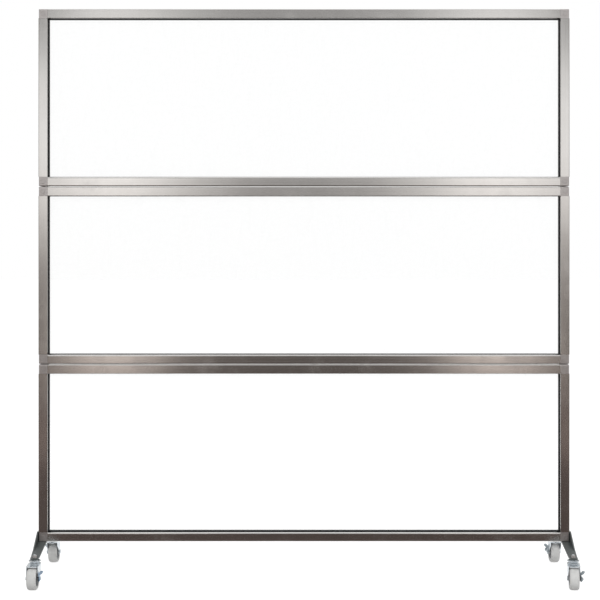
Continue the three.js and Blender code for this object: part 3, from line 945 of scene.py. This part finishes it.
def gasket_and_pane(unit):
    """The gasket, a channel on the pane's edge with a lining in front and behind, and the pane;
    the front lining is partly a real gasket lip and partly painted shade.
    """
    node = f"{unit}_gasket"
    low, high = cad_millimetres(node)
    bite = GROOVE_DEPTH - FIT_GAP
    half_pane = PANE_THICKNESS / 2 + FIT_GAP
    back = bite + 0.05
    lining = back + LINING_THICKNESS
    outer_half = PANE_THICKNESS / 2 + GASKET_WALL

    def half(edge):
        return [
            (0, outer_half),
            (back, outer_half),
            (back, edge),
            (lining - 0.2, edge),
            (lining, edge - 0.3),
            (lining, half_pane + 0.4),
            (lining - 0.3, half_pane),
            (GASKET_WALL, half_pane),
        ]

    # The front lining runs over the frame's inner faces nearly to the front edge: partly a real
    # rubber lip, partly painted shade, a black sheet where those faces lie in shade.
    front = half(HALF_DEPTH - BOTTOM_RAIL_EDGE_RADIUS)
    outline = [(u, -y) for u, y in front] + half(REAR_LINING)[::-1]
    ring = mitred_ring(outline, (high.x - low.x) / 2, (high.z - low.z) / 2)
    middle = (low + high) / 2
    piece(node + "_ring", ring, RUBBER, "frame", [node], at(middle.x, 0, middle.z))

    node = f"{unit}_window_pane"
    low, high = cad_millimetres(node)
    middle = (low + high) / 2
    sheet = bevelled(box(high - low), PANE_BEVEL, 2)
    piece(node + "_sheet", sheet, CLEAR, "frame", [node], at(*middle))


# Foot


def foot_solid(inner, outer, kingpin_y, gusset_inner, floor):
    """The right foot: a bent flange under the frame, a gusset up the post and their holes."""
    flat = HALF_DEPTH + FOOT_FLAT_OVERHANG
    tip_start = kingpin_y - TIP_HALF_LENGTH
    tip_end = kingpin_y + TIP_HALF_LENGTH
    upper = and_mirrored([(-tip_end, TIP_TOP), (-tip_start, TIP_TOP), (-flat, FOOT_TOP)], 0)
    lower = [(y, z - FOOT_THICKNESS) for y, z in reversed(upper)]
    inside, outside = BEND_RADIUS, BEND_RADIUS + FOOT_THICKNESS
    radii = [0, inside, outside, outside, inside, 0, 0, outside, inside, inside, outside, 0]
    bent = prism(eased(upper + lower, radii), inner, outer, by_side)

    tip_outer = outer - TIP_INSET
    full = HALF_DEPTH + GUSSET_REACH
    corners = and_mirrored([(inner, -tip_end), (tip_outer, -tip_end), (outer, -full)])
    tips, shoulders = [TIP_CORNER_RADIUS] * 2, [SHOULDER_RADIUS] * 2
    radii = tips + shoulders + tips
    plan = prism(eased(corners, radii, 12), 0, FOOT_TOP + OVERRUN, by_plan)
    flange = combined("INTERSECT", bent, plan)

    run = FOOT_REACH - TIP_HALF_LENGTH - FOOT_FLAT_OVERHANG
    fall = (FOOT_TOP - TIP_TOP) * (GUSSET_REACH - FOOT_FLAT_OVERHANG) / run
    reach_z = FOOT_TOP - FOOT_THICKNESS / 2 - fall
    flat_z = FOOT_TOP - FOOT_THICKNESS / 2
    top = floor + GUSSET_RISE
    outline = [
        (-full, reach_z),
        (-flat, flat_z),
        (flat, flat_z),
        (full, reach_z),
        (HALF_DEPTH, top),
        (-HALF_DEPTH, top),
    ]
    outline = eased(outline, [0, 0, 0, 0, GUSSET_CORNER_RADIUS, GUSSET_CORNER_RADIUS])
    gusset = prism(outline, gusset_inner, outer, by_side)
    foot = combined("UNION", flange, gusset)

    kingpin_x = (inner + tip_outer) / 2
    holes = []
    for end in (-1, 1):
        hole = rod(STEM_RADIUS + FIT_GAP, 0, FOOT_TOP + LONG_OVERRUN, by_plan)
        holes.append(moved(hole, kingpin_x, end * kingpin_y, 0))
        ends = gusset_inner - SCREW_OVERRUN, outer + SCREW_OVERRUN
        hole = rod(SCREW_RADIUS + FIT_GAP, *ends, by_side)
        holes.append(moved(hole, 0, end * SCREW_SPACING / 2, floor + FACE_WIDTH / 2))
    hole = rod(PEG_RADIUS + FIT_GAP, 0, FOOT_TOP + LONG_OVERRUN, by_plan)
    holes.append(moved(hole, gusset_inner - FIT_GAP - FACE_WIDTH / 2, 0, 0))
    return bevelled(combined("DIFFERENCE", foot, *holes), FOOT_BEVEL)


def feet():
    for side, sign in (("left", -1), ("right", 1)):
        node = f"{side}_foot"
        low, high = cad_millimetres(node)
        inner, outer = sorted((abs(low.x), abs(high.x)))
        kingpin_y = HALF_DEPTH + FOOT_REACH
        floor = high.z - GUSSET_RISE
        gusset_inner = outer - GUSSET_THICKNESS
        foot = foot_solid(inner, outer, kingpin_y, gusset_inner, floor)
        if sign < 0:
            foot.transform(Matrix.Diagonal((-1, 1, 1, 1)))
            outward(foot)
        piece(node + "_plate", foot, COAT, "frame", [node])

        head = [SCREW_HEAD_RADIUS, SCREW_HEAD_HEIGHT, SCREW_SOCKET_RADIUS]
        spots = [(0, end * SCREW_SPACING / 2, 0) for end in (-1, 1)]
        screws = SCREW.grown(spots, [SCREW_RADIUS, SCREW_LENGTH, *head], ZINC)
        seat = (outer + FIT_GAP) * sign
        turned_out = at(seat, 0, floor + FACE_WIDTH / 2) @ turn("Y", 90 * sign)
        nodes = [f"{side}_foot_front_screw", f"{side}_foot_rear_screw"]
        piece(f"{side}_foot_screws", screws, ZINC, "frame", nodes, turned_out)


# Caster pieces, each about its own kingpin


def stem_solid():
    """Kingpin head, dished crown cap, collar and threaded stem, turned in one."""
    head = FORK_UNDER - FIT_GAP - KINGPIN_HEAD_HEIGHT
    rim = FORK_OUTER
    low, high = CAP_BOTTOM, CAP_TOP
    collar_top = CASTER_HEIGHT - FIT_GAP
    top = TIP_TOP + FIT_GAP + NUT_HEIGHT + STEM_PROUD
    profile = [(0, head)]
    profile += arc(KINGPIN_HEAD_RADIUS - 1.5, head + 1.5, 1.5, -90, 0, 5)
    profile += [
        (KINGPIN_HEAD_RADIUS, head + KINGPIN_HEAD_HEIGHT),
        (KINGPIN_RADIUS, head + KINGPIN_HEAD_HEIGHT),
        (KINGPIN_RADIUS, low),
    ]
    roll = (high - low) / 2
    profile += arc(rim - roll, low + roll, roll, -90, 90, 12)
    profile += stepped(rim - roll, high, (-0.9, -0.35), (-1.8, -CAP_DISH * 0.8), (-3, -CAP_DISH))
    profile += stepped(COLLAR_RADIUS, high - CAP_DISH, (0.8, 0), (0, 0.8))
    profile += stepped(COLLAR_RADIUS, collar_top, (0, -0.5), (-0.5, 0))
    profile.append((STEM_RADIUS, collar_top))
    crests = int((top - 1 - collar_top - 0.4) / THREAD_PITCH)
    for i in range(crests):
        root = collar_top + 0.4 + i * THREAD_PITCH
        profile.append((STEM_RADIUS - THREAD_DEPTH, root + THREAD_PITCH * 0.06))
        profile.append((STEM_RADIUS, root + THREAD_PITCH * 0.44))
        profile.append((STEM_RADIUS, root + THREAD_PITCH * 0.62))
    profile += [(STEM_RADIUS - 0.9, top), (0, top)]
    return turned(profile, TURNED_SIDES, by_plan)


def fork_solid():
    """A pressed hood over the wheel, two legs down to the axle and the race on top."""
    back = FORK_OUTER
    hood = FORK_TOP - HOOD_FALL
    apron = hood - APRON_DROP
    side = [(back, FORK_TOP), (-FORK_OUTER, FORK_TOP), (-HOOD_FRONT, hood), (-HOOD_FRONT, apron)]
    side += arc(-TRAIL, WHEEL_RADIUS, FORK_BOSS_RADIUS, -180, 0, 24)
    side += [(back, FORK_UNDER - APRON_DROP)]
    radii = [0, 10, 2.4, 1] + [0] * 25 + [0]
    outer = prism(eased(side, radii), -FORK_OUTER, FORK_OUTER, by_side)
    inside = [
        (back + OVERRUN, FORK_UNDER),
        (-FORK_OUTER, FORK_UNDER),
        (-HOOD_FRONT + FORK_THICKNESS, hood - FORK_THICKNESS),
        (-HOOD_FRONT + FORK_THICKNESS, apron),
        (-HOOD_FRONT - OVERRUN, apron),
        (-HOOD_FRONT - OVERRUN, 0),
        (back + OVERRUN, 0),
    ]
    inner = prism(inside, -FORK_INNER, FORK_INNER, by_side)
    round_x = FORK_OUTER - HOOD_CORNER_RADIUS
    round_y = HOOD_CORNER_RADIUS - HOOD_FRONT
    plan = arc(-round_x, round_y, HOOD_CORNER_RADIUS, 180, 270, 12)
    plan += arc(round_x, round_y, HOOD_CORNER_RADIUS, 270, 360, 12)
    plan += arc(0, 0, FORK_OUTER, 0, 180, 36)
    shell = combined("DIFFERENCE", outer, inner)
    shell = combined("INTERSECT", shell, prism(plan, 0, FORK_TOP, by_plan))
    shell = bevelled(shell, FORK_BEVEL, angle=40)

    race = [
        (0, FORK_UNDER),
        (RACE_RADIUS - 2, FORK_UNDER),
        *stepped(RACE_RADIUS, FORK_TOP, (-2, -0.4), (0.8, -0.4), (0.4, 0.9), (-0.8, 1.5)),
        *stepped(RACE_RADIUS, FORK_TOP, (-3.6, 1.9), (-3.6, 3.5), (-0.6, 4.1)),
        *arc(RACE_RADIUS - 1.2, RACE_TOP - 1.2, 1.2, 0, 90, 8),
        (0, RACE_TOP),
    ]
    fork = combined("UNION", shell, turned(race, TURNED_SIDES, by_plan))
    pin = rod(KINGPIN_RADIUS + FIT_GAP, FORK_UNDER - OVERRUN, RACE_TOP + OVERRUN, by_plan)
    past = FORK_OUTER + OVERRUN
    axle = rod(AXLE_RADIUS + FIT_GAP, -past, past, by_side)
    return combined("DIFFERENCE", fork, pin, moved(axle, *AXLE_PLACE))


def axle_solid():
    """Axle bolt: a chamfered hexagon head on one side and an upset end on the other."""
    head = FORK_OUTER + FIT_GAP
    end = BRAKE_OUTER + FIT_GAP
    shank = rod(AXLE_RADIUS, -head - 1, end + 1, by_side)
    corners = arc(0, 0, AXLE_HEAD_ACROSS_FLATS / math.sqrt(3), 0, 300, 5)
    hexagon = prism(corners, -head - AXLE_HEAD_HEIGHT, -head, by_side)
    narrow = AXLE_HEAD_ACROSS_FLATS * CHAMFER_START
    wide = narrow + AXLE_HEAD_HEIGHT * CHAMFER_SLOPE
    face = -head - AXLE_HEAD_HEIGHT
    cone = [(0, face), (narrow, face), (wide, -head), (0, -head)]
    hexagon = combined("INTERSECT", hexagon, turned(cone, TURNED_SIDES, by_side))
    tip = end + AXLE_END_HEIGHT
    steps = [(-0.4, 0), (0, 0.4), (0, AXLE_END_HEIGHT * 0.45), (-0.7, AXLE_END_HEIGHT * 0.75)]
    upset = [(0, end), *stepped(AXLE_END_RADIUS, end, *steps)]
    upset += [(AXLE_RADIUS, tip), (1.6, tip), (0, tip - 1)]
    whole = combined("UNION", shank, hexagon, turned(upset, ROD_SIDES, by_side))
    return moved(whole, *AXLE_PLACE)


def tyre_solid():
    """The soft tread: a low crown between two rounded shoulders."""
    half = WHEEL_WIDTH / 2
    side = stepped(RIM_RADIUS, half, (0.8, -1.6), (2, -0.6))
    side += stepped(WHEEL_RADIUS, half, (-7, -0.1), (-5.4, 0), (-3.9, -0.7), (-2.5, -2))
    side += stepped(WHEEL_RADIUS, half, (-1.4, -3.8), (-0.6, -6.2), (-0.2, -9.5), (0, -14.5))
    return moved(turned(and_mirrored(side), WHEEL_SIDES, by_side), *AXLE_PLACE)


def core_solid():
    """The moulded core: hub, web, rim and ribs on both sides of the web."""
    bore = AXLE_RADIUS + FIT_GAP
    hub = FORK_INNER - FIT_GAP
    web = WEB_THICKNESS / 2
    rim = WHEEL_WIDTH / 2 - 1.8
    side = [
        (bore, hub),
        *stepped(HUB_RADIUS, hub, (-1, 0), (0, -1)),
        *stepped(HUB_RADIUS, web, (0.4, 1), (1.4, 0)),
        *stepped(RIM_RADIUS, web, (-3.6, 0), (-2.6, 1)),
        *stepped(RIM_RADIUS, rim, (-2.2, 0), (0.6, 0)),
    ]
    core = turned(and_mirrored(side), WHEEL_SIDES, by_side)
    ribs = []
    for i in range(RIB_COUNT):
        for face in (-1, 1):
            size = (WHEEL_WIDTH / 2 - 3.2 - web + 1, RIB_THICKNESS, RIM_RADIUS - HUB_RADIUS - 0.6)
            rib = box(size)
            bmesh.ops.bevel(rib, geom=rib.edges[:], offset=0.4, segments=2, affect="EDGES")
            out = at(face * (web - 1 + size[0] / 2), 0, (RIM_RADIUS + HUB_RADIUS) / 2 - 0.6)
            rib.transform(turn("X", 360 / RIB_COUNT * (i + 0.5)) @ out)
            ribs.append(rib)
    return moved(joined(core, *ribs), *AXLE_PLACE)


def across_lever(low, high, *tip):
    """A tab's outline: from low to high across the lever's thickness, and out to its tip."""
    inner, outer = BRAKE_INNER, BRAKE_OUTER
    return [(inner, low), (outer, low), *tip, (outer, high), (inner, high)]


def brake_solid():
    """A lever outside the leg, with a leaf to press at the top and a pointed tab at the nose."""
    top = WHEEL_RADIUS + BRAKE_TOP_RISE
    nose = -TRAIL - BRAKE_NOSE_REACH
    middle = WHEEL_RADIUS + BRAKE_NOSE_RISE
    high, low = middle + BRAKE_NOSE_HEIGHT / 2, middle - BRAKE_NOSE_HEIGHT / 2
    side = arc(-TRAIL, WHEEL_RADIUS, BRAKE_BOSS_RADIUS, -90, 0, 12)
    side += [(BRAKE_TOP_HALF_WIDTH - TRAIL, top), (-BRAKE_TOP_HALF_WIDTH - TRAIL, top)]
    side += [(nose, high), (nose, low)]
    lever = prism(side, BRAKE_INNER, BRAKE_OUTER, by_side)

    end = BRAKE_OUTER + TOP_TAB_LENGTH
    under = top - BRAKE_TAB_THICKNESS
    crest = top + TOP_TAB_LIFT
    leaf = across_lever(under, top, (end, under + TOP_TAB_LIFT), (end, crest))
    leaf = eased(leaf, [0, 5, 0.9, 0.9, 5, 0], 8)
    back, front = BRAKE_TOP_HALF_WIDTH - TRAIL, -BRAKE_TOP_HALF_WIDTH - TRAIL
    leaf = prism(leaf, front, back, by_front)
    half_tip = BRAKE_TOP_HALF_WIDTH / 2
    plan = across_lever(front, back, (end, -TRAIL - half_tip), (end, half_tip - TRAIL))
    plan = eased(plan, [0, 4, 3, 3, 4, 0])
    plan = prism(plan, under - LONG_OVERRUN, crest + LONG_OVERRUN, by_plan)
    leaf = combined("INTERSECT", leaf, plan)
    rise = (BRAKE_OUTER + TOP_TAB_LENGTH * 0.65, under + 2)
    fall = (BRAKE_OUTER + TOP_TAB_LENGTH * 0.25, crest + 2)
    edge = [rise, (end, crest - 3.4), (end, crest + 0.8), fall]
    petal = across_lever(under - 2, top + TOP_TAB_LIFT * 0.6, *edge)
    petal = eased(petal, [0, 0, 6, 1.2, 1.2, 2.5, 0, 0])
    petal = prism(petal, front + 1, front + 1 + BRAKE_TAB_THICKNESS, by_front)

    half_nose = BRAKE_NOSE_TIP_HEIGHT / 2
    tip = stepped(BRAKE_OUTER + NOSE_TAB_LENGTH, middle, (0, -half_nose), (0, half_nose))
    tab = across_lever(low, high, *tip)
    tab = prism(eased(tab, [0, 0, 1.5, 1.5, 0, 0]), nose, nose + BRAKE_TAB_THICKNESS, by_front)
    whole = bevelled(combined("UNION", lever, leaf, petal, tab), BRAKE_BEVEL, 2, 40)
    bore = rod(AXLE_RADIUS + FIT_GAP, FORK_OUTER, BRAKE_OUTER + OVERRUN, by_side)
    return combined("DIFFERENCE", whole, moved(bore, *AXLE_PLACE))


def casters():
    joints = {joint["name"]: joint for joint in frame["joints"]}
    makers = {
        "stem": stem_solid(),
        "fork": fork_solid(),
        "axle": axle_solid(),
        "tyre": tyre_solid(),
        "core": core_solid(),
        "brake": brake_solid(),
    }
    for name in ("front_left", "front_right", "rear_left", "rear_right"):
        x, y = (value / MM for value in joints[f"{name}_caster_swivel"]["pos_m"][:2])
        across = joints[f"{name}_wheel_spin"]["axis"]
        place = at(x, y, 0) @ turn("Z", math.degrees(math.atan2(across[1], across[0])))
        swivel, wheel = f"{name}_swivel", f"{name}_wheel"
        brake_metal = BLUED_ZINC if name == "front_left" else LEVER_ZINC
        rows = [
            ("stem", "crown_and_stem", ZINC, "frame", "zinc", "stem"),
            ("fork", "pressed_fork", ZINC, swivel, "zinc", "fork"),
            ("axle", "axle_bolt", ZINC, swivel, "zinc", "axle"),
            ("tyre", "tyre", TREAD, wheel, "wheel", "wheel"),
            ("core", "wheel_core", CORE, wheel, "wheel", "wheel"),
            ("brake", "brake_lever", brake_metal, f"{name}_pedal", "zinc", "brake"),
        ]
        for maker, title, metal, body, slot, node in rows:
            nodes = [f"{name}_caster_{node}"]
            piece(f"{name}_{title}", makers[maker].copy(), metal, body, nodes, place)
        sizes = [NUT_ACROSS_FLATS, NUT_HEIGHT, STEM_RADIUS + FIT_GAP]
        nut = NUT.grown([(0, 0, 0)], sizes, AGED_ZINC)
        nodes = [f"{name}_caster_nut"]
        seat = place @ at(0, 0, TIP_TOP + FIT_GAP) @ turn("Z", 30)
        piece(f"{name}_stem_nut", nut, AGED_ZINC, "frame", nodes, seat)
    for solid in makers.values():
        solid.free()


for unit in WINDOWS:
    posts_and_rails(unit)
    corner_blocks(unit)
    gasket_and_pane(unit)
feet()
casters()


# Studio, in metres

WALL_AWAY = 6.5
WALL_SIZE = (14, 10.4)
WALL_MIDDLE = 5
PLAIN_AWAY = 6.4
PLAIN_SIZE = (13, 5.2)
MAT_SIZE = (12, 6.3)
MAT_MIDDLE = -3.35
MAT_HEIGHT = 0.002
FLOOR_SIDE = 60

# Pixels along a side of the photograph
PHOTO_SIDE = 600


class Studio(Finish):
    """A stage material that shines by its own pattern."""

    def __init__(self, name):
        super().__init__(name, (0.8, 0.8, 0.8))

    def band(self, value, start, full, fade, end):
        """Rises between the first two bounds and falls between the last two."""
        return self.ramp(value, start, full) * self.ramp(value, fade, end, 1, 0)

    def glow(self, strength, colour=(1, 1, 1, 1)):
        return self.node("ShaderNodeEmission", {"Color": colour, "Strength": strength})


def flat_card(name, width, height, material, place):
    card = bmesh.new()
    bmesh.ops.create_grid(card, x_segments=1, y_segments=1, size=0.5)
    card.transform(place @ Matrix.Diagonal((width, height, 1, 1)))
    mesh = mesh_from(card)
    mesh.materials.append(material)
    thing = linked(name, mesh)
    return thing


def reflected_card(name, size, material, place):
    """A card that only shows where something mirrors it."""
    card = flat_card(name, *size, material, place)
    card.visible_camera = False
    card.visible_diffuse = False
    card.visible_shadow = False
    card.visible_transmission = False


def seen_rays(tree):
    """One for a ray that is seen: straight, mirrored or through a pane."""
    rays = tree.node("ShaderNodeLightPath")
    seen = rays.other("Is Camera Ray").most(rays.other("Is Glossy Ray"))
    return seen.most(rays.other("Is Transmission Ray"))


def pale_floor():
    """White to the camera, with the soft shadow of what stands on it."""
    f = Studio("pale_floor")
    paper = f.noise(0.004, 3)
    colour = f.blend(paper, (0.36, 0.36, 0.36), (0.38, 0.38, 0.38))
    matt = f.node("ShaderNodeBsdfDiffuse", {"Color": colour})
    lit = f.node("ShaderNodeAddShader", {0: matt, 1: f.glow(seen_rays(f) * 0.5 + 0.32)})
    flat_card("floor", FLOOR_SIDE, FLOOR_SIDE, f.done(lit), Matrix.Identity(4))


def wall_card():
    """What the frame's front mirrors.

    It is bright to both sides and dim behind the camera and low down. Patches brighten the
    rails at the seams, and the upper corners are dimmer.
    """
    f = Studio("reflected_wall")
    x, z = abs(f.x * MM), f.z * MM
    top = f.ramp(z, 2.2, 2.9)
    beside = f.ramp(x, 0.3 + top * 0.3, 1.4 + top * 0.3)
    outside = f.ramp(x, 1.85, 2.15)
    height = f.ramp(z, -0.08, 2.16)
    centre = 0.45 * (0.10 + height * 0.90) * (1 - top * 0.18)
    middle = f.ramp(x, 0.8, 1.4, 1, 0) * f.band(z, -0.3, 0.0, 0.3, 0.7) * 0.05
    low = f.band(z, -0.1, 0.3, 0.8, 1.4)
    bright = (0.62 + outside * -0.11) * (0.08 + height * 0.92) * (1 - outside * low * 0.9)
    patch = f.band(x, 1.05, 1.45, 1.78, 1.92)
    low_patch = patch * f.band(z, -0.5, 0.1, 0.35, 0.9)
    high_patch = patch * f.band(z, 0.9, 1.5, 1.9, 2.5) * 0.36
    end = f.band(x, 1.74, 1.92, 2.05, 2.18)
    low_corner = end * f.band(z, -0.5, -0.05, 0.12, 0.26) * 0.75
    high_corner = end * f.band(z, 1.25, 1.5, 1.7, 1.95) * 0.3
    wall = centre + middle + beside * bright + low_patch + high_patch + low_corner + high_corner
    corner = f.ramp(x, 1.7, 2.3) * f.ramp(z, 2.37, 3.05) * 0.85
    aloft = f.ramp(z, 3.0, 4.2)
    strength = wall * (1 - corner) * (1 - aloft) + (0.45 + beside * 0.15) * aloft
    colour = f.blend(height, (1, 0.88, 0.80), (1, 0.99, 0.98))
    upright = at(0, -WALL_AWAY, WALL_MIDDLE) @ turn("X", 90)
    reflected_card("reflected_wall", WALL_SIZE, f.done(f.glow(strength, colour)), upright)


def plain_cards():
    """Grey cards for the metal's back and sides to mirror, lighter upwards."""
    for side, degrees in (("back", 180), ("left", -90), ("right", 90)):
        name = f"reflected_{side}"
        f = Studio(name)
        height = f.ramp(f.y * MM, -2.6, 1.5)
        level = 0.30 + height * 0.34 + f.noise(0.0004, 2) * 0.08
        upright = turn("Z", degrees) @ at(0, -PLAIN_AWAY, PLAIN_SIZE[1] / 2) @ turn("X", 90)
        reflected_card(name, PLAIN_SIZE, f.done(f.glow(level, (1, 0.985, 0.965, 1))), upright)


def mat_card():
    """What the lower rails mirror: a dark mat in front of the divider."""
    f = Studio("reflected_mat")
    x, y = abs(f.x * MM), f.y * MM
    beside = f.ramp(x, 0.6, 1.3)
    near = f.ramp(y, 0.2, 3.1)
    far = f.ramp(y, -2.7, -2.1, 1, 0) * f.band(x, 1.05, 1.45, 1.6, 1.8)
    weave = f.noise(0.002, 2) * 0.01
    strength = 0.074 + near * 0.05 + beside * (0.012 + near * 0.026) + far * 0.15 + weave
    glow = f.glow(strength, (1, 0.77, 0.69, 1))
    reflected_card("reflected_mat", MAT_SIZE, f.done(glow), at(0, MAT_MIDDLE, MAT_HEIGHT))


def soft_lamp(name, width, height, power, spot, target):
    data = bpy.data.lights.new(name, "AREA")
    data.shape = "RECTANGLE"
    data.size, data.size_y = width, height
    data.energy = power
    lamp = linked(name, data)
    lamp.location = spot
    lamp.visible_glossy = False
    lamp.rotation_euler = (Vector(target) - Vector(spot)).to_track_quat("-Z", "Y").to_euler()


def studio_world():
    world = bpy.data.worlds.new("studio")
    bpy.context.scene.world = world
    world.use_nodes = True
    t = Tree(world.node_tree)
    t.tree.nodes.clear()
    sockets = {"Color": (1, 1, 1, 1), "Strength": seen_rays(t) * 0.45 + 0.55}
    sky = t.node("ShaderNodeBackground", sockets)
    t.node("ShaderNodeOutputWorld", {0: sky})


def level_camera():
    """Looks straight at the front from chest height. The shift only frames the divider."""
    camera = linked("camera", bpy.data.cameras.new("camera"))
    bpy.context.scene.camera = camera
    camera.location = (0, -4.625, 1.18)
    camera.rotation_euler = (math.radians(90), 0, 0)
    camera.data.sensor_width = 36
    camera.data.lens = 80.2
    camera.data.shift_x = -4 / PHOTO_SIDE
    camera.data.shift_y = -65.7 / PHOTO_SIDE
    camera.data.clip_start = 0.1


pale_floor()
wall_card()
mat_card()
plain_cards()
studio_world()
soft_lamp("front_softbox", 3.0, 2.0, 85, (-1.6, -3.6, 3.4), (0, 0, 0.8))
soft_lamp("fill_softbox", 2.5, 2.5, 50, (2.6, -3.0, 1.6), (0, 0, 0.9))
soft_lamp("back_softbox", 3.0, 1.5, 30, (0.5, 3.6, 3.0), (0, 0, 0.9))
level_camera()

bpy.context.scene.view_settings.view_transform = "Standard"
